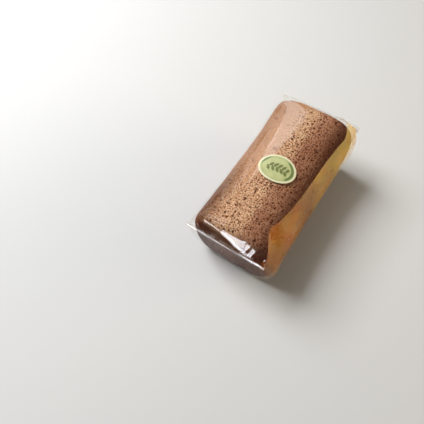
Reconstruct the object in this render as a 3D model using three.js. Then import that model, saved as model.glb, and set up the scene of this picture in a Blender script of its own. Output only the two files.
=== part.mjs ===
// A roll cake in a clear gusseted film bag, heat-sealed at both ends, with an oval paper sticker on top.
// Sizes are millimetres. X runs across the cake, Y along it and Z up, and the origin is on the surface
// that the cake rests on, under the middle of the bag.
import * as THREE from 'three';

// The bag round the cake: a rounded section with a flat sole
const BODY_HALF_WIDTH = 39.5;
const BODY_HEIGHT = 64;
const AXIS_HEIGHT = 32;
const CROWN_POWER = 2.2;
const CROWN_SQUARING_NEAR = 0.3;
const CROWN_SQUARING_FAR = 1.2;
const SOLE_POWER = 2.6;
const SOLE_REACH = 36;
const BARREL_DROP = 0.8;
const END_FLARE = 0.7;

// The closed ends: each runs from the last full section to a short flat seal
const SHOULDER_Y = 62;
const SEAL_ROOT_Y = 77;
const SEAL_FIN = 2.2;
const SEAL_DROOP = 0.8;
const SEAL_THICKNESS = 1.4;
const SEAL_SPREAD = 0.75;
const GUSSET_DEPTH = 5;
const GUSSET_SPAN = 0.3;
const EAR_SPAN = 0.6;

// The film of an end is pulled first along the cake, then turns over its end. Both distances along Y are
// given at the sole and at the crown. Under the seal the film lies close to the flat end of the cake.
const NEAR_SEAL = {
  side: -1, halfWidth: 35.2, shift: -1.2, height: 53, ear: 2, pullY: [78, 70.5], turnY: [71.5, 74.2],
};
const FAR_SEAL = {
  side: 1, halfWidth: 37.5, shift: 1, height: 54.5, ear: 3, pullY: [78, 72], turnY: [74.5, 75.2],
};
const TURN_HEIGHT = [16, 59.5];

// The sticker
const LABEL_CENTRE_X = 1.2;
const LABEL_CENTRE_Y = -3.2;
const LABEL_HALF_LENGTH = 16;
const LABEL_HALF_WIDTH = 12.8;
const LABEL_THICKNESS = 0.4;
const LABEL_GAP = 0.35;

// How finely the rounded forms are faceted
const RING_POINTS = 76;
const BODY_RINGS = 20;
const END_RINGS = 13;
const LABEL_SECTORS = 40;
const LABEL_RINGS = 5;

function mix([a, b], share) {
  return a + (b - a) * share;
}

function signedPower(value, power) {
  return Math.sign(value) * Math.abs(value) ** power;
}

// The crown is highest in the middle. Towards the ends, and most at the far one, the section grows
// wider and squarer.
function crownHeight(y) {
  return BODY_HEIGHT - BARREL_DROP * (y / SHOULDER_Y) ** 2;
}

function crownPower(y) {
  const squaring = y < 0 ? CROWN_SQUARING_NEAR : CROWN_SQUARING_FAR;
  return CROWN_POWER + squaring * (y / SHOULDER_Y) ** 4;
}

function bodyHalfWidth(y) {
  return BODY_HALF_WIDTH + END_FLARE * (y / SHOULDER_Y) ** 2;
}

// A point of the full section, by its angle round the axis: 0 is the +X side, a quarter turn the crown.
function sectionPoint(angle, y) {
  const isCrown = Math.sin(angle) >= 0;
  const power = isCrown ? crownPower(y) : SOLE_POWER;
  const reach = isCrown ? crownHeight(y) - AXIS_HEIGHT : SOLE_REACH;
  const x = bodyHalfWidth(y) * signedPower(Math.cos(angle), 2 / power);
  const z = AXIS_HEIGHT + reach * signedPower(Math.sin(angle), 2 / power);
  return new THREE.Vector3(x, y, Math.max(z, 0));
}

// The height of the crown above any place on the top of the bag
function crownAt(x, y) {
  const across = Math.min(Math.abs(x) / bodyHalfWidth(y), 1);
  const rise = crownHeight(y) - AXIS_HEIGHT;
  return AXIS_HEIGHT + rise * (1 - across ** crownPower(y)) ** (1 / crownPower(y));
}

// A point of a flat seal, where the top and the bottom film lie on each other. Beyond its root by
// past, the fin droops.
function sealPoint(angle, seal, past) {
  const x = seal.shift + seal.halfWidth * signedPower(Math.cos(angle), SEAL_SPREAD);
  const y = seal.side * (SEAL_ROOT_Y + past);
  const z = seal.height - SEAL_DROOP * (past / SEAL_FIN) + (SEAL_THICKNESS / 2) * Math.sin(angle);
  return new THREE.Vector3(x, y, z);
}

// A point of an end: each thread of film leaves the section along the cake, turns round the cake's end
// and meets the seal. Both sides stand out as ears, and the gusset is the tuck under the seal's tips.
function endPoint(angle, seal, travel) {
  const start = sectionPoint(angle, seal.side * SHOULDER_Y);
  const finish = sealPoint(angle, seal, 0);
  const upness = (1 + Math.sin(angle)) / 2;
  const outward = Math.sign(Math.cos(angle));
  const ear = outward * seal.ear * Math.exp(-((Math.sin(angle) / EAR_SPAN) ** 2));
  const tuck = outward * GUSSET_DEPTH * Math.exp(-((Math.sin(angle) / GUSSET_SPAN) ** 2));
  const pullY = seal.side * mix(seal.pullY, upness ** 2);
  const turnY = seal.side * mix(seal.turnY, upness ** 2);
  const pull = new THREE.Vector3(start.x + ear, pullY, start.z);
  const turn = new THREE.Vector3(finish.x + ear, turnY, mix(TURN_HEIGHT, upness));
  const point = new THREE.CubicBezierCurve3(start, pull, turn, finish).getPoint(travel);
  point.x -= tuck * Math.sin(Math.PI * travel ** 2) ** 2;
  return point;
}

function ring(pointAt) {
  const points = [];
  for (let i = 0; i < RING_POINTS; i += 1) {
    points.push(pointAt((2 * Math.PI * i) / RING_POINTS));
  }
  return points;
}

// The rings of one end, from its first one past the body to the edge of its seal
function endRings(seal) {
  const rings = [];
  for (let i = 1; i <= END_RINGS; i += 1) {
    rings.push(ring((angle) => endPoint(angle, seal, i / END_RINGS)));
  }
  rings.push(ring((angle) => sealPoint(angle, seal, SEAL_FIN)));
  return rings;
}

// All rings of the bag, from the seal of the near end to the seal of the far end
function bagRings() {
  const body = [];
  for (let i = 0; i <= BODY_RINGS; i += 1) {
    const y = mix([-SHOULDER_Y, SHOULDER_Y], i / BODY_RINGS);
    body.push(ring((angle) => sectionPoint(angle, y)));
  }
  return [...endRings(NEAR_SEAL).reverse(), ...body, ...endRings(FAR_SEAL)];
}

// The end of a seal is closed between the points that lie over each other.
function capTriangles(first, facesFar) {
  const triangles = [];
  const add = (a, b, c) => triangles.push(...(facesFar ? [a, b, c] : [a, c, b]));
  const half = RING_POINTS / 2;
  for (let i = 0; i < half; i += 1) {
    const over = first + i;
    const overNext = first + i + 1;
    const under = first + ((RING_POINTS - i) % RING_POINTS);
    const underNext = first + (RING_POINTS - i - 1);
    if (i > 0) {
      add(over, under, overNext);
    }
    if (i < half - 1) {
      add(under, underNext, overNext);
    }
  }
  return triangles;
}

function loftRings(rings) {
  const positions = rings.flat().flatMap((p) => [p.x, p.y, p.z]);
  const triangles = [];
  for (let r = 0; r < rings.length - 1; r += 1) {
    for (let i = 0; i < RING_POINTS; i += 1) {
      const here = r * RING_POINTS + i;
      const beside = r * RING_POINTS + ((i + 1) % RING_POINTS);
      triangles.push(here, here + RING_POINTS, beside);
      triangles.push(beside, here + RING_POINTS, beside + RING_POINTS);
    }
  }
  triangles.push(...capTriangles(0, false));
  triangles.push(...capTriangles((rings.length - 1) * RING_POINTS, true));
  return indexedGeometry(positions, triangles);
}

function indexedGeometry(positions, triangles) {
  const geometry = new THREE.BufferGeometry();
  geometry.setAttribute('position', new THREE.Float32BufferAttribute(positions, 3));
  geometry.setIndex(triangles);
  geometry.computeVertexNormals();
  return geometry;
}

// The sticker is a thin oval that follows the crown. Its two faces share the same sectors and rings.
function labelGeometry() {
  const positions = [];
  const triangles = [];
  const faceSize = 1 + LABEL_RINGS * LABEL_SECTORS;
  for (const lift of [LABEL_GAP, LABEL_GAP + LABEL_THICKNESS]) {
    positions.push(LABEL_CENTRE_X, LABEL_CENTRE_Y, crownAt(LABEL_CENTRE_X, LABEL_CENTRE_Y) + lift);
    for (let r = 1; r <= LABEL_RINGS; r += 1) {
      for (let s = 0; s < LABEL_SECTORS; s += 1) {
        const angle = (2 * Math.PI * s) / LABEL_SECTORS;
        const x = LABEL_CENTRE_X + LABEL_HALF_LENGTH * (r / LABEL_RINGS) * Math.cos(angle);
        const y = LABEL_CENTRE_Y + LABEL_HALF_WIDTH * (r / LABEL_RINGS) * Math.sin(angle);
        positions.push(x, y, crownAt(x, y) + lift);
      }
    }
  }
  const corner = (face, r, s) => face * faceSize + 1 + (r - 1) * LABEL_SECTORS + (s % LABEL_SECTORS);
  const add = (face, a, b, c) => triangles.push(...(face === 1 ? [a, b, c] : [a, c, b]));
  for (const face of [0, 1]) {
    for (let s = 0; s < LABEL_SECTORS; s += 1) {
      add(face, face * faceSize, corner(face, 1, s), corner(face, 1, s + 1));
      for (let r = 1; r < LABEL_RINGS; r += 1) {
        add(face, corner(face, r, s), corner(face, r + 1, s), corner(face, r + 1, s + 1));
        add(face, corner(face, r, s), corner(face, r + 1, s + 1), corner(face, r, s + 1));
      }
    }
  }
  for (let s = 0; s < LABEL_SECTORS; s += 1) {
    const low = corner(0, LABEL_RINGS, s);
    const lowNext = corner(0, LABEL_RINGS, s + 1);
    const high = corner(1, LABEL_RINGS, s);
    const highNext = corner(1, LABEL_RINGS, s + 1);
    triangles.push(low, lowNext, highNext);
    triangles.push(low, highNext, high);
  }
  return indexedGeometry(positions, triangles);
}

function part(name, geometry, color, roughness) {
  const material = new THREE.MeshStandardMaterial({ color, roughness, metalness: 0 });
  const mesh = new THREE.Mesh(geometry, material);
  mesh.name = name;
  return mesh;
}

const rollCake = new THREE.Group();
rollCake.add(part('film_bag', loftRings(bagRings()), 0xb08a62, 0.25));
rollCake.add(part('label', labelGeometry(), 0xc4ca96, 0.6));

export default rollCake;
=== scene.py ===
# A sponge roll cake in its clear film bag, with an oval sticker on top, on a pale studio floor.
# The forms are worked out in millimetres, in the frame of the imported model, and made in metres.
import math

import bpy
import numpy as np
from mathutils import Matrix, Vector
from mathutils.noise import noise as noiseAt


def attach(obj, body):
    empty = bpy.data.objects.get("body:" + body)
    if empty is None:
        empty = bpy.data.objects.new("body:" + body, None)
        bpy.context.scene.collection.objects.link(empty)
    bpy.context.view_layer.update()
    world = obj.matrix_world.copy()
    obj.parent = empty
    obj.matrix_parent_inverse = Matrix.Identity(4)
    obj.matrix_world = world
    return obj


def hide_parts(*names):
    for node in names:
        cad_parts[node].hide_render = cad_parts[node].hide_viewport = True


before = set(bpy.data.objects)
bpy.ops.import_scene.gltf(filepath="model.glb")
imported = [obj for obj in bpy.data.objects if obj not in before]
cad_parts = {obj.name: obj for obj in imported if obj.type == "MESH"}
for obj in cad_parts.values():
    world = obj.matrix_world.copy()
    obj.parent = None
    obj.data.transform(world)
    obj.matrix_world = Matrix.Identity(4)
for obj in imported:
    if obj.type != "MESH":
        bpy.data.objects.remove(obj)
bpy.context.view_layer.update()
mm = 0.001
scene = bpy.context.scene


# A wire is a node's output. An expression on wires adds its Math nodes to their tree.
class Wire:
    def __init__(self, tree, socket):
        self.tree = tree
        self.socket = socket

    def node(self, kind, settings=None, sockets=None, out=0):
        return addNode(self.tree, kind, settings, sockets, out)

    def maths(self, operation, *values, clamp=False):
        settings = {"operation": operation, "use_clamp": clamp}
        return self.node("ShaderNodeMath", settings, dict(enumerate(values)))

    def __add__(self, other):
        return self.maths("ADD", self, other)

    def __radd__(self, other):
        return self.maths("ADD", other, self)

    def __sub__(self, other):
        return self.maths("SUBTRACT", self, other)

    def __rsub__(self, other):
        return self.maths("SUBTRACT", other, self)

    def __mul__(self, other):
        return self.maths("MULTIPLY", self, other)

    def __rmul__(self, other):
        return self.maths("MULTIPLY", other, self)

    def __truediv__(self, other):
        return self.maths("DIVIDE", self, other)

    def __rtruediv__(self, other):
        return self.maths("DIVIDE", other, self)

    def __pow__(self, other):
        return self.maths("POWER", self, other)

    def __abs__(self):
        return self.maths("ABSOLUTE", self)

    def greatest(self, other):
        return self.maths("MAXIMUM", self, other)

    def clipped(self):
        return self.maths("ADD", self, 0.0, clamp=True)

    def spread(self, atZero, atOne):            # a straight line between two values
        return self * (atOne - atZero) + atZero

    def eased(self, low, high, atLow=0.0, atHigh=1.0):        # a smooth step between two values
        sockets = {"Value": self, "From Min": low, "From Max": high, "To Min": atLow, "To Max": atHigh}
        return self.node("ShaderNodeMapRange", {"interpolation_type": "SMOOTHSTEP"}, sockets, "Result")


def addNode(tree, kind, settings=None, sockets=None, out=0):    # the wire of one output, or the node itself
    made = tree.nodes.new(kind)
    for name, value in (settings or {}).items():
        setattr(made, name, value)
    for name, value in (sockets or {}).items():
        plug(tree, made.inputs[name], value)
    return made if out is None else Wire(tree, made.outputs[out])


def plug(tree, socket, value):
    if isinstance(value, Wire):
        tree.links.new(value.socket, socket)
    elif socket.type == "RGBA" and len(value) == 3:
        socket.default_value = (*value, 1)
    else:
        socket.default_value = value


def newFinish(name):                            # an empty material, and the wire of its Object coordinates
    finish = bpy.data.materials.new(name)
    finish.use_nodes = True
    finish.node_tree.nodes.clear()
    place = addNode(finish.node_tree, "ShaderNodeTexCoord", out="Object")
    return finish, place


def showSurface(shader):
    shader.node("ShaderNodeOutputMaterial", {}, {"Surface": shader}, None)


def coordinates(place, axes):                   # a place's coordinates along some axes, in millimetres
    apart = place.node("ShaderNodeSeparateXYZ", {}, {"Vector": place}, None)
    return [Wire(place.tree, apart.outputs[axis]) / mm for axis in axes]


def scaled(vector, factor):
    return vector.node("ShaderNodeVectorMath", {"operation": "SCALE"}, {0: vector, "Scale": factor})


def noise(place, scale, detail=2.0, roughness=0.5, out=0):
    sockets = {"Vector": place, "Scale": scale, "Detail": detail, "Roughness": roughness}
    return place.node("ShaderNodeTexNoise", {}, sockets, out)


def bumped(height, strength, distance):
    return height.node("ShaderNodeBump", {}, {"Strength": strength, "Distance": distance, "Height": height})


def blended(share, first, second):              # a colour between two colours
    return share.node("ShaderNodeMix", {"data_type": "RGBA"}, {0: share, 6: first, 7: second}, 2)


def mixedShaders(share, first, second):
    return share.node("ShaderNodeMixShader", {}, {0: share, 1: first, 2: second})


def linear(*channels):                          # a screen colour, 0 to 255, as light, by the sRGB curve
    shares = [channel / 255 for channel in channels]
    return tuple(((v + 0.055) / 1.055) ** 2.4 if v > 0.04045 else v / 12.92 for v in shares)


def gridFaces(rows, columns):                   # quads between rings of points that close on themselves
    row = np.arange(rows - 1)[:, None] * columns
    column = np.arange(columns)[None, :]
    beside = (column + 1) % columns
    quads = np.stack([row + column, row + columns + column, row + columns + beside, row + beside], axis=-1)
    return quads.reshape(-1, 4).tolist()


def makeMesh(name, points, faces, finish):
    mesh = bpy.data.meshes.new(name)
    mesh.from_pydata((points * mm).tolist(), [], faces)
    mesh.materials.append(finish)
    mesh.polygons.foreach_set("use_smooth", [True] * len(mesh.polygons))
    mesh.update()
    piece = bpy.data.objects.new(name, mesh)
    scene.collection.objects.link(piece)
    return piece


def bake(piece):                                # makes a piece and its modifiers one plain mesh
    evaluated = piece.evaluated_get(bpy.context.evaluated_depsgraph_get())
    mesh = bpy.data.meshes.new_from_object(evaluated)
    piece.modifiers.clear()
    piece.data = mesh


# The bag's form, as in the solid: a rounded section with a flat sole, closed by a flat seal at each end
bag = {
    "halfWidth": 39.5, "height": 64.0, "axisHeight": 32.0,
    "crownPower": 2.2, "squaring": {"near": 0.3, "far": 1.2}, "solePower": 2.6, "soleReach": 36.0,
    "barrelDrop": 0.8, "endFlare": 0.7, "shoulderY": 62.0,
    "sealRootY": 77.0, "sealFin": 2.2, "sealDroop": 0.8, "sealThickness": 1.4, "sealSpread": 0.75,
    "gussetDepth": 5.0, "gussetSpan": 0.3, "earSpan": 0.6,
    "nearSeal": {                               # pullY and turnY are given at the sole and at the crown
        "side": -1, "halfWidth": 35.2, "shift": -1.2, "height": 53.0, "ear": 2.0,
        "pullY": (78.0, 70.5), "turnY": (71.5, 74.2),
    },
    "farSeal": {
        "side": 1, "halfWidth": 37.5, "shift": 1.0, "height": 54.5, "ear": 3.0,
        "pullY": (78.0, 72.0), "turnY": (74.5, 75.2),
    },
    "turnHeight": (16.0, 59.5),
}


def mixed(pair, share):
    return pair[0] + (pair[1] - pair[0]) * share


def eased(value, low, high):                    # a smooth step from 0 at one value to 1 at the other
    share = np.clip((value - low) / (high - low), 0, 1)
    return share * share * (3 - 2 * share)


def signedPower(value, power):
    return np.sign(value) * np.abs(value) ** power


def crownHeight(y):
    return bag["height"] - bag["barrelDrop"] * (y / bag["shoulderY"]) ** 2


def crownSquaring(y):                           # how much squarer the crown is than in the cake's middle
    squaring = np.where(y < 0, bag["squaring"]["near"], bag["squaring"]["far"])
    return squaring * np.minimum(abs(y) / bag["shoulderY"], 1) ** 4


def bodyHalfWidth(y):
    return bag["halfWidth"] + bag["endFlare"] * (y / bag["shoulderY"]) ** 2


def sectionPoint(angle, y):                     # 0 is the +X side, a quarter turn the crown
    sine, cosine = np.sin(angle), np.cos(angle)
    isCrown = sine >= 0
    power = np.where(isCrown, bag["crownPower"] + crownSquaring(y), bag["solePower"])
    reach = np.where(isCrown, crownHeight(y) - bag["axisHeight"], bag["soleReach"])
    x = bodyHalfWidth(y) * signedPower(cosine, 2 / power)
    z = bag["axisHeight"] + reach * signedPower(sine, 2 / power)
    return np.stack([x, y + 0 * x, np.maximum(z, 0)], axis=-1)


def crownAt(x, y):                              # the height of the crown above a place
    across = np.minimum(np.abs(x) / bodyHalfWidth(y), 1)
    power = bag["crownPower"] + crownSquaring(y)
    return bag["axisHeight"] + (crownHeight(y) - bag["axisHeight"]) * (1 - across ** power) ** (1 / power)


def sealPoint(angle, seal, past):               # on a flat seal, past its root
    x = seal["shift"] + seal["halfWidth"] * signedPower(np.cos(angle), bag["sealSpread"])
    y = seal["side"] * (bag["sealRootY"] + past)
    z = seal["height"] - bag["sealDroop"] * past / bag["sealFin"] + bag["sealThickness"] / 2 * np.sin(angle)
    return np.stack([x, y + 0 * x, z], axis=-1)


def endPoint(angle, seal, travel):              # the film of an end, on its way from the body to the seal
    start = sectionPoint(angle, seal["side"] * bag["shoulderY"])
    finish = sealPoint(angle, seal, 0)
    sine, outward = np.sin(angle), np.sign(np.cos(angle))
    upness = (1 + sine) / 2
    ear = outward * seal["ear"] * np.exp(-(sine / bag["earSpan"]) ** 2)
    tuck = outward * bag["gussetDepth"] * np.exp(-(sine / bag["gussetSpan"]) ** 2)
    pullY = seal["side"] * mixed(seal["pullY"], upness ** 2)
    turnY = seal["side"] * mixed(seal["turnY"], upness ** 2)
    pull = np.stack([start[..., 0] + ear, pullY, start[..., 2]], axis=-1)
    turn = np.stack([finish[..., 0] + ear, turnY, mixed(bag["turnHeight"], upness)], axis=-1)
    left = 1 - travel
    leaving = left ** 3 * start + 3 * left ** 2 * travel * pull
    point = leaving + 3 * left * travel ** 2 * turn + travel ** 3 * finish
    point[..., 0] -= tuck * np.sin(np.pi * travel ** 2) ** 2
    return point


# The sponge: its body, the pores that Geometry Nodes sink into it, and its crumb
sponge = {
    "halfWidth": 38.3, "top": 63.1, "bottom": 0.5, "crownPower": 2.06, "solePower": 2.7,
    "endRound": 9.0,                            # how far along Y the rounding of an end may reach
    "nearEnd": {"y": -70.6, "round": (9.0, 8.0), "spread": (8.0, 6.5)},      # at the sole and at the crown
    "farEnd": {"y": 72.0, "round": (9.0, 3.4), "spread": (8.6, 2.1)},
    "spiral": {                                 # the seam of the roll, a shallow groove in each end
        "turns": 3.2, "first": 4.0, "last": 38.0, "shown": 33.0, "squash": 1.2, "width": 0.7, "depth": 0.8,
    },
    "rings": 240, "capRings": 34, "roundRings": 14, "solePoints": 84, "crownPoints": 196,
    "crownStart": -0.12,                        # where the crown's closer points begin, in half turns
    "lump": 0.5, "lumpSize": 26.0, "raggedness": 0.45, "raggedScale": 0.9, "poreEdge": (0.6, 1.05),
    "pores": [                                  # a pit's depth is given against its radius
        {"spacing": 9.5, "radius": (0.7, 1.8), "depth": 1.2, "shade": 1.0, "seed": 11},
        {"spacing": 6.4, "radius": (0.45, 1.05), "depth": 1.1, "shade": 0.95, "seed": 23},
        {"spacing": 2.6, "radius": (0.2, 0.6), "depth": 0.9, "shade": 0.75, "seed": 37},
    ],
    "specks": {"size": 2.0, "radius": (0.46, 0.82), "seed": 5.3, "disorder": 0.72},
    "paleSpecks": {"size": 1.9, "radius": (0.35, 0.8), "seed": 2.7, "disorder": 0.8},
    "pinholes": {"size": 3.4, "radius": (0.2, 1.1), "seed": 0.0},
    "grain": {"size": 0.9, "seed": 9.7}, "dotEdge": (0.6, 1.1),
    "seedShift": (1.0, 0.37, 0.0),              # how far a pattern moves for each unit of its seed
    "mottle": {"scale": 60.0, "detail": 4.0, "roughness": 0.6}, "mottleSpan": (0.3, 0.7),
    "patches": {"scale": 0.09}, "patchSpan": (0.35, 0.65), "patchShares": (0.65, 1.0),
    # Where the crumb's painted shade lies, and where the film's window reflection fades its dots, from one
    # place to another along an axis
    "paintedRightShadeX": (1, 11), "reflectionX": (-14, -3), "reflectionY": (-45, 5), "paintedFlankShadeX": (12, 32),
    "paintedNearShadeY": (-68.5, -71), "paintedNearShadeZ": (46, 54),
    # How strong the painted flank shade and the dots are in the open, and where the film's window reflection
    # lies over the crumb
    "paintedFlankShadeShares": (0.85, 0.4), "dotShares": (1.0, 0.18),
    "paintedRightShadeShares": (0.7, 1.0),                  # shares of the painted right-side shade where the mottling is pale, and where it is dark
    "shares": {                                 # how far each colour covers what is under it
        "dark": 0.5, "pale": 0.5, "paleSpeck": 0.55, "underReflectionDark": 0.35, "paintedRightShade": 0.7, "paintedNearShade": 0.9,
        "poreShade": 0.95,
    },
    "colours": {
        "crumb": linear(202, 146, 102), "dark": linear(172, 110, 70), "pale": linear(255, 222, 184),
        # the next three colours are painted shade: the right side's, the flanks' and the near face's
        "paintedRightShade": linear(140, 76, 56), "paintedFlankShade": linear(82, 39, 19), "paintedNearShade": linear(98, 40, 12),
        "paleSpeck": linear(255, 232, 200), "speckShade": linear(100, 42, 14), "pinholeShade": linear(82, 28, 8),
        "poreShade": linear(70, 22, 6),
    },
    "grainRelief": 0.3, "speckRelief": 0.6, "bump": {"strength": 0.7, "distance": 0.0006},
    "surface": {"Roughness": 0.9, "Specular IOR Level": 0.05},
}


def spongeAngles():                             # from the sole's middle round, closer over the crown
    start = sponge["crownStart"]
    stops = np.array([-0.5, start, 1 - start, 1.5]) * np.pi
    counts = (sponge["solePoints"] // 2, sponge["crownPoints"], sponge["solePoints"] // 2)
    spans = zip(stops, stops[1:], counts)
    return np.concatenate([np.linspace(low, high, count, endpoint=False) for low, high, count in spans])


def spongeSection(angle, y):
    sine, cosine = np.sin(angle), np.cos(angle)
    isCrown = sine >= 0
    drop = bag["barrelDrop"] * (y / bag["shoulderY"]) ** 2
    rise, fall = sponge["top"] - drop - bag["axisHeight"], bag["soleReach"] - sponge["bottom"]
    power = np.where(isCrown, sponge["crownPower"] + crownSquaring(y), sponge["solePower"])
    x = sponge["halfWidth"] * signedPower(cosine, 2 / power)
    z = bag["axisHeight"] + np.where(isCrown, rise, fall) * signedPower(sine, 2 / power)
    return np.stack([x, y + 0 * x, np.maximum(z, sponge["bottom"])], axis=-1)


def spongeEnd(angles, end):                     # rings round the edge of an end and in to its middle
    outward = math.copysign(1, end["y"])
    upness = (1 + np.sin(angles)) / 2
    reach, spread = mixed(end["round"], upness), mixed(end["spread"], upness)
    rings = []
    for turn in np.linspace(0, math.pi / 2, sponge["roundRings"] + 1)[1:]:
        back = sponge["endRound"] * (1 - math.sin(turn))
        ring = spongeSection(angles, end["y"] - outward * back)
        inward = (np.array([0.0, 0.0, bag["axisHeight"]]) - ring) * [1, 0, 1]
        inward /= np.linalg.norm(inward, axis=1)[:, None]
        past = np.clip(1 - back / reach, 0, 1)
        rings.append(ring + inward * (spread * (1 - np.sqrt(1 - past ** 2)))[:, None])
    rim = rings[-1]
    centre = np.array([0.0, end["y"], bag["axisHeight"]])
    for share in np.linspace(0, 1, sponge["capRings"] + 1)[1:-1]:
        ring = rim + (centre - rim) * share
        ring[:, 1] -= outward * spiralGroove(ring)
        rings.append(ring)
    return rings, centre


def spiralGroove(points):                       # how deep the groove is at each point of an end
    spiral = sponge["spiral"]
    x, z = points[:, 0], (points[:, 2] - bag["axisHeight"]) * spiral["squash"]
    out = np.hypot(x, z)
    pitch = (spiral["last"] - spiral["first"]) / spiral["turns"]
    turns = (out - spiral["first"]) / pitch - np.arctan2(z, x) / (2 * np.pi)
    apart = np.abs(turns - np.round(turns)) * pitch
    isShown = (out > spiral["first"]) & (out < spiral["shown"])
    return spiral["depth"] * np.exp(-(apart / spiral["width"]) ** 2) * isShown


def spongePoints():
    angles = spongeAngles()
    near, far = sponge["nearEnd"], sponge["farEnd"]
    body = np.linspace(near["y"] + sponge["endRound"], far["y"] - sponge["endRound"], sponge["rings"])
    nearRings, nearCentre = spongeEnd(angles, near)
    farRings, farCentre = spongeEnd(angles, far)
    rows = nearRings[::-1] + [spongeSection(angles, y) for y in body] + farRings
    return np.array(rows), nearCentre, farCentre


def stored(geometry, name, value):              # the geometry, with a value kept on its points
    sockets = {"Geometry": geometry, "Name": name, "Value": value}
    settings = {"data_type": "FLOAT", "domain": "POINT"}
    return geometry.node("GeometryNodeStoreNamedAttribute", settings, sockets)


def sampled(points, kind, value, index):        # the value at one of the points
    sockets = {"Geometry": points, "Value": value, "Index": index}
    return points.node("GeometryNodeSampleIndex", {"data_type": kind, "domain": "POINT"}, sockets)


def poreLayer(i, inputs, position, ragged):     # how deep one layer's pores are here, and how dark
    body, seed = inputs["Geometry"], inputs[f"Seed {i}"]
    spacing = inputs[f"Spacing {i}"] * mm
    scatter = {"Mesh": body, "Distance Min": spacing, "Density Max": 1 / (spacing * spacing), "Seed": seed}
    points = body.node("GeometryNodeDistributePointsOnFaces", {"distribute_method": "POISSON"}, scatter)
    sizes = {2: inputs[f"Smallest {i}"], 3: inputs[f"Largest {i}"], "Seed": seed}
    radius = body.node("FunctionNodeRandomValue", {"data_type": "FLOAT"}, sizes, 1)
    sized = stored(points, "radius", radius)
    here = {"Geometry": sized, "Sample Position": position}
    nearest = sized.node("GeometryNodeSampleNearest", {"domain": "POINT"}, here)
    centre = scaled(sampled(sized, "FLOAT_VECTOR", position, nearest), 1 / mm)
    named = addNode(body.tree, "GeometryNodeInputNamedAttribute", {"data_type": "FLOAT"}, {"Name": "radius"})
    own = sampled(sized, "FLOAT", named, nearest)
    gap = ragged.node("ShaderNodeVectorMath", {"operation": "DISTANCE"}, {0: ragged, 1: centre}, "Value")
    hole = (gap / own).eased(*sponge["poreEdge"], 1.0, 0.0)
    return hole * own * inputs[f"Depth {i}"], hole * inputs[f"Shade {i}"]


def poresTree():
    tree = bpy.data.node_groups.new("sponge pores", "GeometryNodeTree")
    tree.interface.new_socket("Geometry", in_out="INPUT", socket_type="NodeSocketGeometry")
    tree.interface.new_socket("Geometry", in_out="OUTPUT", socket_type="NodeSocketGeometry")
    names = ["Lump", "Lump size", "Raggedness"]
    for i in range(len(sponge["pores"])):
        names += [f"{name} {i}" for name in ("Spacing", "Smallest", "Largest", "Depth", "Shade", "Seed")]
    for name in names:
        kind = "NodeSocketInt" if name.startswith("Seed") else "NodeSocketFloat"
        tree.interface.new_socket(name, in_out="INPUT", socket_type=kind)
    entry = tree.nodes.new("NodeGroupInput")
    inputs = {socket.name: Wire(tree, socket) for socket in entry.outputs if socket.name}
    body = inputs["Geometry"]
    position = addNode(tree, "GeometryNodeInputPosition")
    normal = addNode(tree, "GeometryNodeInputNormal")
    place = scaled(position, 1 / mm)
    wobble = noise(place, sponge["raggedScale"], 1.0, out="Color")
    wobble = wobble.node("ShaderNodeVectorMath", {"operation": "SUBTRACT"}, {0: wobble, 1: (0.5, 0.5, 0.5)})
    wobble = scaled(wobble, 2 * inputs["Raggedness"])
    ragged = place.node("ShaderNodeVectorMath", {"operation": "ADD"}, {0: place, 1: wobble})
    layers = [poreLayer(i, inputs, position, ragged) for i in range(len(sponge["pores"]))]
    depth, poreShade = layers[0]
    for pit, shade in layers[1:]:
        depth = depth.greatest(pit)
        poreShade = poreShade.greatest(shade)
    lump = noise(place, 1 / inputs["Lump size"]) - 0.5
    offset = scaled(normal, (lump * inputs["Lump"] * 2 - depth) * mm)
    moved = body.node("GeometryNodeSetPosition", {}, {"Geometry": body, "Offset": offset})
    # how dark each pit is painted, as painted shade inside it
    marked = stored(moved, "poreShade", poreShade)
    real = marked.node("GeometryNodeRealizeInstances", {}, {"Geometry": marked})
    finished = real.node("GeometryNodeSetMaterial", {}, {"Geometry": real, "Material": spongeFinish()})
    finished.node("NodeGroupOutput", {}, {"Geometry": finished}, None)
    return tree


# Cells of one size: how far it is to the middle of a place's own cell, and that cell's chance
def scattered(flat, size, seed, disorder=1.0):
    shift = tuple(seed * step for step in sponge["seedShift"])
    moved = flat.node("ShaderNodeVectorMath", {"operation": "ADD"}, {0: flat, 1: shift})
    sockets = {"Vector": moved, "Scale": 1 / size, "Randomness": disorder}
    cells = flat.node("ShaderNodeTexVoronoi", {"voronoi_dimensions": "2D"}, sockets, None)
    tint = Wire(flat.tree, cells.outputs["Color"])
    chance = tint.node("ShaderNodeSeparateColor", {}, {"Color": tint}, "Red")
    return Wire(flat.tree, cells.outputs["Distance"]) * size, chance


def dots(flat, size, radius, seed, disorder=1.0):     # round dots of mixed sizes, most of them small
    gap, chance = scattered(flat, size, seed, disorder)
    return (gap / (chance * chance).spread(*radius)).eased(*sponge["dotEdge"], 1.0, 0.0)


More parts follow.
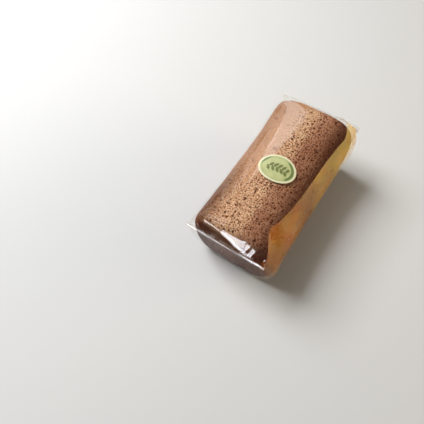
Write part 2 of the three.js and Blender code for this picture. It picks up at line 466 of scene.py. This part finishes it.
def spongeFinish():
    finish, place = newFinish("sponge crumb")
    poreShade = addNode(place.tree, "ShaderNodeAttribute", {"attribute_name": "poreShade"}, out="Fac")
    flat = addNode(place.tree, "ShaderNodeUVMap", {"uv_map": "crumb"})
    across, along, up = coordinates(place, "XYZ")
    mottle = noise(place, **sponge["mottle"]).eased(*sponge["mottleSpan"])
    patchy = noise(flat, **sponge["patches"]).eased(*sponge["patchSpan"]).spread(*sponge["patchShares"])
    grain = scattered(flat, **sponge["grain"])[1]
    specks = dots(flat, **sponge["specks"])
    paleSpecks = dots(flat, **sponge["paleSpecks"])
    pinholes = dots(flat, **sponge["pinholes"])
    # painted to go with the film's window reflection over the far left of the crumb: there the crumb is
    # darker and its dots fade
    underReflection = across.eased(*sponge["reflectionX"], 1.0, 0.0) * along.eased(*sponge["reflectionY"])
    clearness = underReflection.spread(*sponge["dotShares"])
    # painted shade: the crumb's right side is made darker and redder, standing in for the side that gets
    # less light
    paintedRightShade = across.eased(*sponge["paintedRightShadeX"]) * mottle.spread(*sponge["paintedRightShadeShares"])
    # painted shade: both flanks of the crumb are darkened, as if in shadow, less so under the film's window
    # reflection
    paintedFlankShade = abs(across).eased(*sponge["paintedFlankShadeX"]) * underReflection.spread(*sponge["paintedFlankShadeShares"])
    # painted shade: the lower part of the near end is darkened, as if in shadow
    paintedNearShade = along.eased(*sponge["paintedNearShadeY"]) * up.eased(*sponge["paintedNearShadeZ"], 1.0, 0.0)

    shares, colours = sponge["shares"], sponge["colours"]
    colour = blended(mottle * shares["dark"], colours["crumb"], colours["dark"])
    colour = blended(grain * shares["pale"], colour, colours["pale"])
    colour = blended(paleSpecks * clearness * shares["paleSpeck"], colour, colours["paleSpeck"])
    colour = blended(underReflection * shares["underReflectionDark"], colour, colours["dark"])
    colour = blended(paintedRightShade * shares["paintedRightShade"], colour, colours["paintedRightShade"])
    colour = blended(paintedFlankShade, colour, colours["paintedFlankShade"])
    colour = blended(paintedNearShade * shares["paintedNearShade"], colour, colours["paintedNearShade"])
    # painted shade: the specks and pinholes are small pits, coloured dark as if shaded inside
    colour = blended(specks * clearness * patchy, colour, colours["speckShade"])
    colour = blended(pinholes * clearness, colour, colours["pinholeShade"])
    # painted shade: the pits are coloured dark, as if shaded inside
    colour = blended(poreShade * clearness * shares["poreShade"], colour, colours["poreShade"])
    sunk = pinholes.greatest(poreShade).greatest(specks * sponge["speckRelief"])
    bump = bumped(grain * sponge["grainRelief"] - sunk, **sponge["bump"])
    sockets = {"Base Color": colour, "Normal": bump, **sponge["surface"]}
    showSurface(place.node("ShaderNodeBsdfPrincipled", {}, sockets))
    return finish


def crumbMap(rows):                             # where each face corner is on the unrolled surface
    count, columns = rows.shape[:2]
    crown = columns // 2
    steps = np.linalg.norm(np.roll(rows, -1, axis=1) - rows, axis=2)
    around = np.concatenate([np.zeros((count, 1)), np.cumsum(steps, axis=1)], axis=1)
    around += (around[count // 2, crown] - around[:, crown])[:, None]
    along = np.concatenate([[0], np.cumsum(np.linalg.norm(np.diff(rows[:, crown], axis=0), axis=1))])
    first = np.broadcast_to(np.arange(count - 1)[:, None], (count - 1, columns))
    left = np.broadcast_to(np.arange(columns)[None, :], (count - 1, columns))
    corners = [(first, left), (first + 1, left), (first + 1, left + 1), (first, left + 1)]
    unrolled = np.stack([np.stack([around[r, c], along[r]], axis=-1) for r, c in corners], axis=2)
    faceOn = np.stack([rows[r, c % columns][..., [0, 2]] for r, c in corners], axis=2)
    isEnd = (first < sponge["capRings"] - 1) | (first >= count - sponge["capRings"])
    quads = np.where(isEnd[..., None, None], faceOn, unrolled)
    return quads.reshape(-1, 2)


def poreValues():                               # what the modifier's inputs are set to, by their names
    values = {"Lump": sponge["lump"], "Lump size": sponge["lumpSize"], "Raggedness": sponge["raggedness"]}
    for i, layer in enumerate(sponge["pores"]):
        values[f"Smallest {i}"], values[f"Largest {i}"] = layer["radius"]
        for name in ("Spacing", "Depth", "Shade", "Seed"):
            values[f"{name} {i}"] = layer[name.lower()]
    return values


def buildSponge():
    rows, nearCentre, farCentre = spongePoints()
    count, columns = rows.shape[:2]
    points = np.concatenate([rows.reshape(-1, 3), [nearCentre, farCentre]])
    faces = gridFaces(count, columns)
    gridCount = len(faces)
    nearPole, farPole = count * columns, count * columns + 1
    lastRow = (count - 1) * columns
    for i in range(columns):
        following = (i + 1) % columns
        faces.append((nearPole, i, following))
        faces.append((farPole, lastRow + following, lastRow + i))
    piece = makeMesh("sponge_roll", points, faces, bpy.data.materials.new("bare"))
    fans = points[np.array(faces[gridCount:])][..., [0, 2]]
    spread = piece.data.uv_layers.new(name="crumb")
    spread.uv.foreach_set("vector", np.concatenate([crumbMap(rows), fans.reshape(-1, 2)]).ravel())
    modifier = piece.modifiers.new("pores", "NODES")
    modifier.node_group = poresTree()
    values = poreValues()
    for socket in modifier.node_group.interface.items_tree:
        if socket.in_out == "INPUT" and socket.name in values:
            modifier[socket.identifier] = values[socket.name]
    bake(piece)
    print("sponge:", len(piece.data.polygons), "faces")
    return piece


# The film: the bag's form with a ridge along each side, slack panels, folds and gathered seals
film = {
    "ringPoints": 360, "bodyRings": 118, "endRings": 54, "finRings": 4, "seed": 5,
    "easeRings": 5, "ease": (0.1, 0.8),         # the rings next to a flat seal, and their share of relief
    "ribs": 0.02, "ribPitch": 1.7,
    "finCurl": {-1: 0.92, 1: 0.0}, "curlStart": 0.38,       # by the seal's side; from this share of the fin
    "ridge": {                                  # turns are in degrees round the section
        "turn": 45.0, "notchTurn": 15.0, "notchY": -50.6, "notchReach": 22.0, "nearFall": 0.045,
        "farY": 57.0, "farRise": 1.07, "midTurn": 50.0, "lowest": 5.0,
        "height": 2.0, "reach": (17, 37), "pull": 0.85, "crestPower": 6, "outerPower": 3, "leftShare": 0.1,
    },
    "slope": {                                  # the near slope is flattened between these places
        "startY": 63.0, "top": 63.3, "fall": 0.68, "depth": 0.85,
        "leftX": (-14, 14), "rightX": (16, 34), "lowZ": (50, 54),
    },
    "slack": {"height": 0.7, "size": 19.0, "turn": 5.0, "span": 30.0, "endY": 70.0, "fade": 8.0},
    "gather": {
        "height": 0.06, "size": 2.6, "startY": 66.0, "fade": 10.0, "stretch": (1, 0.12, 0.5), "seed": 9,
    },
    "fold": {
        "height": (0.25, 0.6), "width": (0.9, 1.6), "fade": 0.7,
        "place": (0.2, 0.8), "length": (0.55, 1.0),     # shares of its part of the fan and of its length
        "offSurface": 9.0,                      # a fold shapes only the film that lies this near it
    },
    "paintedGold": {                                   # painted reflection: the side panel below the ridge gets a milky gold veil, as if it reflected gold
        "milkAndPaintedGold": 0.35, "farPaintedGold": 0.22, "farY": (20, 70),
        "edge": (0, 1.2), "fade": (20, 82),     # in degrees below the ridge
        "blotchSize": 13.0, "stretch": (1, 0.5, 1), "blotch": (0.4, 1.6), "seed": 3,
    },
    "foldMilk": 0.12, "foldMilkMost": 0.16, "sealMilk": 0.02,
    # the milky film is coloured gold, a painted reflection: orange near, yellow far
    "clear": (0.985, 0.982, 0.975), "paintedGoldNear": linear(246, 150, 56), "paintedGoldFar": linear(255, 220, 92),
    "goldY": (-50, 62), "goldShare": 0.7, "goldCloud": {"scale": 70.0}, "cloudSpan": (0.35, 0.65),
    "normalReflectance": 0.055, "grazingReflectance": 0.38, "grazingPower": 5.0,
    "clingingY": (-64, -54), "roughness": (0.045, 0.1),
    "waves": {"scale": 130.0}, "grain": {"scale": 800.0, "roughness": 0.6}, "grainShare": 0.18,
    "bump": {"strength": 0.15, "distance": 0.0006},
}

folds = {                                       # fans of folds: their start, and their first and last end
    "near right corner": {"from": (33, -76, 52), "between": ((38, -50, 42), (29, -56, 57)), "count": 4},
    "near right drop": {"from": (33, -76.5, 51), "between": ((39, -64, 14), (16, -77, 16)), "count": 4},
    "near left corner": {"from": (-35, -76, 52), "between": ((-39, -50, 42), (-22, -58, 60)), "count": 5},
    "near left drop": {"from": (-35, -76.5, 51), "between": ((-39, -64, 14), (-18, -77, 16)), "count": 4},
    "side notch": {"from": (22.3, -50.6, 60), "between": ((34, -62, 46), (37, -34, 42)), "count": 4},
    "far right corner": {"from": (37, 77, 53), "between": ((39, 48, 44), (24, 58, 60)), "count": 5},
    "far right drop": {"from": (37, 77, 51), "between": ((39, 64, 14), (17, 77, 16)), "count": 4},
    "far left corner": {"from": (-35, 77, 53), "between": ((-39, 50, 42), (-22, 58, 60)), "count": 5},
    "far left drop": {"from": (-35, 77, 51), "between": ((-39, 64, 14), (-18, 77, 16)), "count": 4},
}


def filmFinish():
    finish, place = newFinish("clear film")
    along = coordinates(place, "Y")[0]
    facing = addNode(place.tree, "ShaderNodeLayerWeight", {}, {"Blend": 0.5}, "Facing")
    milkAndPaintedGold = addNode(place.tree, "ShaderNodeAttribute", {"attribute_name": "milkAndPaintedGold"}, out="Fac")
    mirror = (facing ** film["grazingPower"]) * film["grazingReflectance"] + film["normalReflectance"]
    clinging = along.eased(*film["clingingY"])          # tightest, and so sharpest, at the near end
    ripple = noise(place, **film["waves"]) + noise(place, **film["grain"]) * clinging * film["grainShare"]
    roughness = along.eased(*film["clingingY"], *film["roughness"])
    sockets = {"Color": (1, 1, 1), "Roughness": roughness, "Normal": bumped(ripple, **film["bump"])}
    gloss = place.node("ShaderNodeBsdfGlossy", {}, sockets)
    clear = place.node("ShaderNodeBsdfTransparent", {}, {"Color": film["clear"]})
    # painted reflection: the milky parts of the film are gold, as if they reflected gold
    warm = place.node("ShaderNodeBsdfDiffuse", {}, {"Color": film["paintedGoldNear"]})
    bright = place.node("ShaderNodeBsdfDiffuse", {}, {"Color": film["paintedGoldFar"]})
    cloud = noise(place, **film["goldCloud"]).eased(*film["cloudSpan"])
    towards = along.eased(*film["goldY"]) * film["goldShare"] + cloud * (1 - film["goldShare"])
    hazyAndPaintedGold = mixedShaders(milkAndPaintedGold.clipped(), clear, mixedShaders(towards, warm, bright))
    showSurface(mixedShaders(mirror.clipped(), hazyAndPaintedGold, gloss))
    return finish


def filmTurns():                                # where the points of a ring lie, in degrees round it
    return np.degrees(np.linspace(0, 2 * np.pi, film["ringPoints"], endpoint=False))


def filmRows():
    angles = np.linspace(0, 2 * np.pi, film["ringPoints"], endpoint=False)

    def endRows(seal):
        rows = [endPoint(angles, seal, travel) for travel in np.linspace(0, 1, film["endRings"] + 1)[1:]]
        for share in np.linspace(0, 1, film["finRings"] + 1)[1:]:
            row = sealPoint(angles, seal, bag["sealFin"] * share)
            row[:, 2] -= film["finCurl"][seal["side"]] * max(share - film["curlStart"], 0)
            rows.append(row)
        return rows

    bodyY = np.linspace(-bag["shoulderY"], bag["shoulderY"], film["bodyRings"])
    body = [sectionPoint(angles, y) for y in bodyY]
    return np.array(endRows(bag["nearSeal"])[::-1] + body + endRows(bag["farSeal"]))


def rowNormals(rows):                           # outward normals of rings that close on themselves
    around = np.roll(rows, -1, axis=1) - np.roll(rows, 1, axis=1)
    along = np.gradient(rows, axis=0)
    normals = np.cross(along, around)
    return normals / np.maximum(np.linalg.norm(normals, axis=2), 1e-9)[..., None]


def roughly(points, size, seed):                # soft noise from -1 to 1
    shift = Vector((seed, 0, 0))
    return np.array([[noiseAt(Vector(point) / size + shift) for point in row] for row in points.tolist()])


def ridgeTurn(y):                               # where the top panel's right edge runs
    ridge = film["ridge"]
    past = y - ridge["notchY"]
    turn = ridge["turn"] + ridge["notchTurn"] * np.exp(-np.maximum(past, 0) / ridge["notchReach"])
    nearTurn = np.maximum(-past, 0) ** 2 * ridge["nearFall"]
    return turn - nearTurn + np.maximum(y - ridge["farY"], 0) * ridge["farRise"]


def slopeDrop(rows):                            # how far the near slope lies under the plain form
    slope = film["slope"]
    x, y, z = rows[..., 0], rows[..., 1], rows[..., 2]
    chord = slope["top"] - (-y - slope["startY"]) * slope["fall"]
    share = eased(x, *slope["leftX"]) * (1 - eased(x, *slope["rightX"])) * eased(z, *slope["lowZ"])
    return np.where(y < -slope["startY"], share * np.maximum(z - chord, 0) * slope["depth"], 0)


def withRidge(rows, normals, isLeft):           # the rows, with an edge between the top and a side panel
    ridge = film["ridge"]
    share = ridge["leftShare"] if isLeft else 1
    pull = ridge["pull"] * share
    turns = 180 - filmTurns() if isLeft else filmTurns()
    order = np.argsort(turns)

    def at(values, turn):                       # a ring's values at any turn
        return np.array([np.interp(turn, turns[order], values[order, axis]) for axis in range(3)])

    drawn = rows.copy()
    for row, normal, out in zip(rows, normals, drawn):
        top = float(ridgeTurn(at(row, ridge["midTurn"])[1]))
        crest = at(row, top) + at(normal, top) * ridge["height"] * share
        for reach, side in zip(ridge["reach"], (1, -1)):
            limit = max(top + side * reach, ridge["lowest"])
            part = (turns - top) / (limit - top)
            isInside = (part >= 0) & (part <= 1)
            away = part[isInside][:, None]
            chord = crest + (at(row, limit) - crest) * away
            sharpness = pull + (1 - pull) * (1 - away) ** ridge["crestPower"]
            taut = (1 - away ** ridge["outerPower"]) * sharpness
            out[isInside] = row[isInside] + (chord - row[isInside]) * taut
    return drawn


def foldRelief(points, normals, start, end, height, width):
    along = end - start
    share = np.clip((points - start) @ along / (along @ along), 0, 1)
    offset = points - start - share[..., None] * along
    lift = np.sum(offset * normals, axis=-1)
    apart = np.sqrt(np.maximum(np.sum(offset * offset, axis=-1) - lift * lift, 0))
    crest = np.exp(-apart / width) * (1 - share) ** film["fold"]["fade"]
    return height * crest * (np.abs(lift) < film["fold"]["offSurface"])


def foldCrests(rows, normals):                  # how far the fans of folds stand out
    fold = film["fold"]
    rng = np.random.default_rng(film["seed"])
    crests = 0 * rows[..., 1]
    for fan in folds.values():
        apex = np.array(fan["from"], float)
        first, last = np.array(fan["between"], float)
        count = fan["count"]
        for share in (np.arange(count) + rng.uniform(*fold["place"], count)) / count:
            end = apex + (first + (last - first) * share - apex) * rng.uniform(*fold["length"])
            height, width = rng.uniform(*fold["height"]), rng.uniform(*fold["width"])
            crests = np.maximum(crests, foldRelief(rows, normals, apex, end, height, width))
    return crests


def filmRelief(rows, crests):                   # how far each point stands out from the plain form
    slack, gather = film["slack"], film["gather"]
    y, turns = rows[..., 1], filmTurns()
    body = np.clip((slack["endY"] - np.abs(y)) / slack["fade"], 0, 1)
    fromSide = np.minimum(turns, np.abs(180 - turns)) - slack["turn"]
    side = np.exp(-(fromSide / slack["span"]) ** 2)
    loose = slack["height"] * side * body * roughly(rows, slack["size"], film["seed"])
    nearSeal = np.clip((np.abs(y) - gather["startY"]) / gather["fade"], 0, 1)
    pleats = roughly(rows * gather["stretch"], gather["size"], film["seed"] + gather["seed"])
    return loose + crests + gather["height"] * nearSeal * pleats


# a painted gold reflection on the side panel under each ridge, laid on as a milky veil
def gussetPaintedGold(rows):
    paintedGold = film["paintedGold"]
    y, turns = rows[..., 1], filmTurns()
    below = ridgeTurn(y) - np.where(turns > 180, turns - 360, turns)
    panel = eased(below, *paintedGold["edge"]) * (1 - eased(below, *paintedGold["fade"]))
    blotch = roughly(rows * paintedGold["stretch"], paintedGold["blotchSize"], film["seed"] + paintedGold["seed"])
    milkAndPaintedGold = paintedGold["milkAndPaintedGold"] + paintedGold["farPaintedGold"] * eased(y, *paintedGold["farY"])
    return panel * milkAndPaintedGold * mixed(paintedGold["blotch"], 0.5 + 0.5 * blotch)


def reliefShares(count):                        # 0 on the flat seals and 1 on the bag, for each ring
    start = np.concatenate([np.zeros(film["finRings"] + 1), np.linspace(*film["ease"], film["easeRings"])])
    return np.concatenate([start, np.ones(count - 2 * len(start)), start[::-1]])


def sealEdges(rows, columns):                   # closes each seal, between points that lie over each other
    faces = []
    for first, isFar in ((0, False), ((rows - 1) * columns, True)):
        for i in range(columns // 2):
            over, overNext = first + i, first + i + 1
            under, underNext = first + (columns - i) % columns, first + columns - i - 1
            corners = list(dict.fromkeys([over, under, underNext, overNext]))
            faces.append(corners if isFar else corners[::-1])
    return faces


def buildFilm():
    rows = filmRows()
    count, columns = rows.shape[:2]
    normals = rowNormals(rows)
    crests = foldCrests(rows, normals)
    relief = filmRelief(rows, crests)
    shares = reliefShares(count)[:, None]
    rib = film["ribs"] * np.sin(rows[..., 0] * 2 * np.pi / film["ribPitch"]) * (1 - shares)
    drop = slopeDrop(rows)
    ridged = withRidge(withRidge(rows, normals, False), normals, True)
    rows = rows + (ridged - rows) * shares[..., None]
    rows = rows + normals * (relief * shares)[..., None]
    rows[..., 2] = np.maximum(rows[..., 2] - drop + rib, 0)
    faces = gridFaces(count, columns) + sealEdges(count, columns)
    piece = makeMesh("film_wrap", rows.reshape(-1, 3), faces, filmFinish())
    milkAndPaintedGold = np.clip(crests * film["foldMilk"], 0, film["foldMilkMost"]) + film["sealMilk"] * (1 - shares)
    # the side panels' painted gold reflection joins the milky folds and seals
    milkAndPaintedGold = np.maximum(milkAndPaintedGold, gussetPaintedGold(rows) * shares)
    store = piece.data.attributes.new("milkAndPaintedGold", "FLOAT", "POINT")
    store.data.foreach_set("value", milkAndPaintedGold.ravel())
    print("film:", len(piece.data.polygons), "faces")
    return piece


# The sticker: an oval of printed paper that follows the crown
sticker = {
    "centre": (1.2, -3.2), "halfLength": 16.0, "halfWidth": 12.8, "lift": 0.35, "thickness": 0.3,
    "sectors": 160, "topRings": 26, "underRings": 8, "topEdge": 0.99,
    "softEdge": ((1.0, 0.08), (0.997, 0.02)),   # shares of the outline, and how far below the top
    "rim": linear(228, 224, 188), "field": linear(192, 196, 140), "shade": linear(168, 172, 110),
    "leafInk": linear(98, 104, 50), "arcInk": linear(92, 116, 62),
    "stem": {"half": 9.0, "width": 0.38, "bend": 0.018, "y": 0.6, "side": (-0.1, 0.15), "tip": (-0.2, 0.4)},
    "leaf": {
        "count": 5, "first": 0.35, "apart": 0.6, "length": 5.6, "taper": 0.06, "longest": 1.5, "width": 2.6,
        "heading": 0.95, "turn": 0.05, "edge": (-0.05, 0.07),
    },
    # Distances from the middle are shares of the outline
    "bandInside": (0.72, 0.74), "bandOutside": (0.86, 0.88), "rimInside": (0.88, 0.9),
    "arcs": [
        {"slant": 0.3, "x": (7.6, 9.0), "ends": (0.0, 1.0)},
        {"slant": -0.5, "x": (-13.6, -12.4), "ends": (1.0, 0.0)},
    ],
    "ring": {"out": 0.8, "half": 0.011, "edge": (-0.004, 0.004)},
    "cloud": {"scale": 160.0, "detail": 3.0, "roughness": 0.6}, "cloudSpan": (0.35, 0.7),
    "shares": {"cloud": 0.5, "ring": 0.55, "sprig": 0.9, "arcs": 0.85},
    "fibre": {"scale": 2600.0}, "bump": {"strength": 0.15, "distance": 0.0002}, "roughness": 0.5,
}


def leafShape(x, y, base, heading, length):
    leaf = sticker["leaf"]
    cosine, sine = math.cos(heading), math.sin(heading)
    along = ((x - base[0]) * cosine + (y - base[1]) * sine) / length
    across = abs(((y - base[1]) * cosine - (x - base[0]) * sine) / leaf["width"])
    return (along * (1 - along) * 2 - across).eased(*leaf["edge"])


def sprig(x, y):                                # a curved stem with leaves on both sides
    stem, leaf = sticker["stem"], sticker["leaf"]
    inside = stem["width"] - abs(y + x * x * stem["bend"] - stem["y"])
    ink = inside.eased(*stem["side"]) * (stem["half"] - abs(x)).eased(*stem["tip"])
    for i in range(leaf["count"]):
        at = -stem["half"] + 2 * stem["half"] * (i + leaf["first"]) / leaf["count"]
        length = leaf["length"] * (1 - leaf["taper"] * abs(i - leaf["longest"]))
        for side in (1, -1):
            base = (at + leaf["apart"] * side, stem["y"] - stem["bend"] * at * at)
            ink = ink.greatest(leafShape(x, y, base, side * leaf["heading"] + leaf["turn"] * i, length))
    return ink


def edgingArcs(x, y, outward):                  # parts of a band round the field
    band = outward.eased(*sticker["bandInside"]) * outward.eased(*sticker["bandOutside"], 1.0, 0.0)
    first, second = ((x + y * arc["slant"]).eased(*arc["x"], *arc["ends"]) for arc in sticker["arcs"])
    return (band * first).greatest(band * second)


def stickerFinish():
    finish, place = newFinish("printed paper")
    x, y = (axis - middle for axis, middle in zip(coordinates(place, "XY"), sticker["centre"]))
    outward = ((x / sticker["halfLength"]) ** 2.0 + (y / sticker["halfWidth"]) ** 2.0) ** 0.5
    ring, shares = sticker["ring"], sticker["shares"]
    line = (ring["half"] - abs(outward - ring["out"])).eased(*ring["edge"])
    cloud = noise(place, **sticker["cloud"]).eased(*sticker["cloudSpan"])
    colour = blended(cloud * shares["cloud"], sticker["field"], sticker["shade"])
    colour = blended(line * shares["ring"], colour, sticker["leafInk"])
    colour = blended(sprig(x, y) * shares["sprig"], colour, sticker["leafInk"])
    colour = blended(edgingArcs(x, y, outward) * shares["arcs"], colour, sticker["arcInk"])
    colour = blended(outward.eased(*sticker["rimInside"]), colour, sticker["rim"])
    bump = bumped(noise(place, **sticker["fibre"]), **sticker["bump"])
    sockets = {"Base Color": colour, "Roughness": sticker["roughness"], "Normal": bump}
    showSurface(place.node("ShaderNodeBsdfPrincipled", {}, sockets))
    return finish


def buildSticker():
    count = sticker["sectors"]
    centreX, centreY = sticker["centre"]
    turns = np.linspace(0, 2 * np.pi, count, endpoint=False)
    low, high = sticker["lift"], sticker["lift"] + sticker["thickness"]
    profile = [(share, low) for share in np.linspace(0, 1, sticker["underRings"] + 1)[1:]]
    profile += [(share, high - below) for share, below in sticker["softEdge"]]
    profile += [(share, high) for share in np.linspace(sticker["topEdge"], 0, sticker["topRings"])[:-1]]
    rows = []
    for share, lift in profile:
        x = centreX + sticker["halfLength"] * share * np.cos(turns)
        y = centreY + sticker["halfWidth"] * share * np.sin(turns)
        rows.append(np.stack([x, y, crownAt(x, y) + lift], axis=-1))
    middle = np.array([centreX, centreY, crownAt(centreX, centreY)])
    points = np.concatenate([*rows, [middle + [0, 0, low], middle + [0, 0, high]]])
    faces = [face[::-1] for face in gridFaces(len(rows), count)]
    under, over = len(points) - 2, len(points) - 1
    lastRow = (len(rows) - 1) * count
    for i in range(count):
        following = (i + 1) % count
        faces.append((under, following, i))
        faces.append((over, lastRow + i, lastRow + following))
    piece = makeMesh("oval_sticker", points, faces, stickerFinish())
    print("sticker:", len(piece.data.polygons), "faces")
    return piece


# Floor, lights and camera
studio = {
    "floor": {
        "half": 2500.0, "colour": (0.7, 0.7, 0.695), "shade": 0.985, "cloud": {"scale": 3.0},
        "cloudSpan": (0.2, 0.8), "surface": {"Roughness": 0.9, "Specular IOR Level": 0.1},
    },
    "air": 0.09,
    "glossOnly": ("window", "window edge", "patch", "strip", "glow"),       # bright shapes on the film
    "lightOnly": ("key", "fill"),               # these aren't seen in the film
    "lights": {                                 # bearing and rise in degrees, distance and size in metres
        "window": {"bearing": 124.5, "rise": 28, "distance": 1.1, "size": (0.5, 0.8),
                   "radiance": 3.4, "colour": (0.92, 0.99, 1)},
        "window edge": {"bearing": 143, "rise": 22, "distance": 1.1, "size": (0.26, 0.5),
                        "radiance": 1.6, "colour": (1, 0.95, 0.88)},
        "top": {"bearing": 185, "rise": 62, "distance": 1.2, "size": (0.8, 0.55),
                "radiance": 1.0, "colour": (1, 1, 1)},
        "key": {"bearing": 178, "rise": 48, "distance": 1.2, "size": (0.62, 0.62),
                "radiance": 13.8, "colour": (1, 1, 1)},
        "fill": {"bearing": 30, "rise": 12, "distance": 1.2, "size": (0.8, 0.25),
                 "radiance": 13.0, "colour": (1.0, 0.84, 0.56)},
        "patch": {"bearing": 175, "rise": 36, "distance": 1.2, "size": (0.3, 0.3),
                  "radiance": 1.4, "colour": (1, 1, 1)},
        "strip": {"bearing": -126, "rise": 36, "distance": 1.2, "size": (1.45, 0.1),
                  "radiance": 11.0, "colour": (1, 1, 1)},
        "glow": {"bearing": -94, "rise": 34, "distance": 1.2, "size": (0.2, 0.5),
                 "radiance": 12.5, "colour": (0.97, 0.96, 1)},
    },
}


def buildFloor():
    finish, place = newFinish("pale floor")
    setting = studio["floor"]
    shade = noise(place, **setting["cloud"]).eased(*setting["cloudSpan"])
    colour = blended(shade, setting["colour"], tuple(v * setting["shade"] for v in setting["colour"]))
    sockets = {"Base Color": colour, **setting["surface"]}
    showSurface(place.node("ShaderNodeBsdfPrincipled", {}, sockets))
    corners = np.array([[-1, -1, 0], [1, -1, 0], [1, 1, 0], [-1, 1, 0]]) * setting["half"]
    makeMesh("floor", corners, [(0, 1, 2, 3)], finish)


# An area light that faces the cake
def addSoftbox(name, bearing, rise, distance, size, radiance, colour):
    data = bpy.data.lights.new(name, "AREA")
    data.shape = "RECTANGLE"
    data.size, data.size_y = size
    data.energy = radiance * math.pi * size[0] * size[1]
    data.color = colour
    light = bpy.data.objects.new(name, data)
    bearing, rise = math.radians(bearing), math.radians(rise)
    level = math.cos(rise)
    direction = Vector((math.cos(bearing) * level, math.sin(bearing) * level, math.sin(rise)))
    light.location = direction * distance
    light.rotation_euler = direction.to_track_quat("Z", "Y").to_euler()
    light.visible_diffuse = name not in studio["glossOnly"]
    light.visible_glossy = name not in studio["lightOnly"]
    scene.collection.objects.link(light)


def buildStudio():
    buildFloor()
    world = bpy.data.worlds.new("studio air")
    world.use_nodes = True
    air = world.node_tree.nodes["Background"]
    air.inputs["Color"].default_value = (1, 1, 1, 1)
    air.inputs["Strength"].default_value = studio["air"]
    scene.world = world
    for name, setting in studio["lights"].items():
        addSoftbox(name, **setting)
    scene.view_settings.view_transform = "Standard"
    print("studio:", len(studio["lights"]), "lights")


camera = {                                      # at the photograph's viewing angle
    "place": (71.9, -187.1, 346.9),
    "right": (0.83281808, 0.552554, -0.03313793),
    "down": (0.47263514, -0.74097282, -0.47704854),
    "ahead": (-0.28814938, 0.3816325, -0.878252),
    "lens": 36.0, "sensor": 36.0, "clipStart": 10.0,
}


def buildCamera():
    data = bpy.data.cameras.new("camera")
    data.sensor_width = camera["sensor"]
    data.lens = camera["lens"]
    data.clip_start = camera["clipStart"] * mm
    view = bpy.data.objects.new("camera", data)
    right, down, ahead = (Vector(camera[axis]) for axis in ("right", "down", "ahead"))
    turn = Matrix((right, -down, -ahead)).transposed().to_4x4()
    view.matrix_world = Matrix.Translation(Vector(camera["place"]) * mm) @ turn
    scene.collection.objects.link(view)
    scene.camera = view


buildCamera()
buildStudio()

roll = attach(buildSponge(), "root")
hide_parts("film_bag")
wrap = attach(buildFilm(), "root")
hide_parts("film_bag")
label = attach(buildSticker(), "root")
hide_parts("label")
